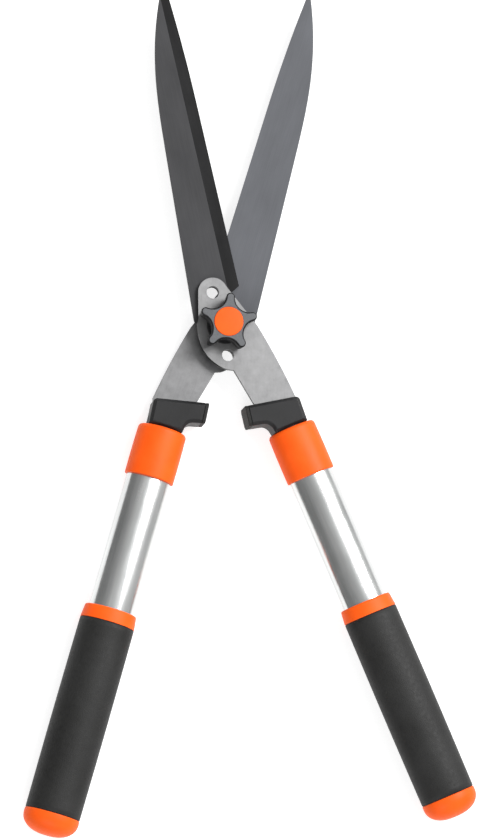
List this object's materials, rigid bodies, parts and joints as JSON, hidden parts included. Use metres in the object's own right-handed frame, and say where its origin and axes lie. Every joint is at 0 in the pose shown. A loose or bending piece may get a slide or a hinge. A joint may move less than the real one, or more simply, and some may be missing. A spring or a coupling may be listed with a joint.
{
  "type": "hedge shears",
  "caption": "Manual hedge shears: two straight coated blades on a star-knob pivot, oval aluminium handles with foam grips, bumper arms and collars.",
  "frame": {"origin": "on the pivot axis, at the back face of the pivot bolt's head", "axes": "+Z along the pivot axis towards the knob, +Y towards the blade tips, +X to the right seen from the knob side"},
  "size_m": [0.3124, 0.5984, 0.0403],
  "materials": {
    "blade_steel": "dark non-stick coating, satin",
    "tang_steel": "satin zinc grey",
    "black_plastic": "fine moulded texture",
    "orange_plastic": "satin moulded",
    "tube_aluminium": "drawn, lengthwise lines",
    "grip_foam": "fine matte foam",
    "pad_rubber": "matte",
    "fastener_steel": "zinc plated"
  },
  "bodies": {
    "back_half": {"back_blade": "blade_steel", "back_tang": "tang_steel", "back_rivets": "fastener_steel", "pivot_bolt": "fastener_steel", "left_socket": "black_plastic", "left_bumper_pad": "pad_rubber", "left_socket_screws": "fastener_steel", "left_collar": "orange_plastic", "left_tube": "tube_aluminium", "left_tube_screw": "fastener_steel", "left_grip_ring": "orange_plastic", "left_grip": "grip_foam", "left_end_cap": "orange_plastic"},
    "front_half": {"front_blade": "blade_steel", "front_tang": "tang_steel", "front_rivets": "fastener_steel", "pivot_bush": "fastener_steel", "right_socket": "black_plastic", "right_bumper_pad": "pad_rubber", "right_socket_screws": "fastener_steel", "right_collar": "orange_plastic", "right_tube": "tube_aluminium", "right_tube_screw": "fastener_steel", "right_grip_ring": "orange_plastic", "right_grip": "grip_foam", "right_end_cap": "orange_plastic"},
    "washers": {"thrust_washer": "fastener_steel", "spring_washer": "fastener_steel"},
    "knob": {"star_knob": "black_plastic", "knob_nut": "fastener_steel", "knob_cap": "orange_plastic"}
  },
  "joints": [
    {"name": "blade_pivot", "type": "hinge", "parent": "back_half", "child": "front_half", "pos_m": [0, 0, 0.0098], "axis": [0, 0, -1], "range_deg": [-30, 24.4]},
    {"name": "knob_travel", "type": "slide", "parent": "back_half", "child": "washers", "axis": [0, 0, 1], "range_m": [0, 0.00251]},
    {"name": "knob_turn", "type": "hinge", "parent": "washers", "child": "knob", "pos_m": [0, 0, 0.02], "axis": [0, 0, 1], "range_deg": [0, 720]}
  ],
  "couplings": [
    {"joint": "knob_travel", "follows": "knob_turn", "m_per_rad": 0.00019894}
  ]
}
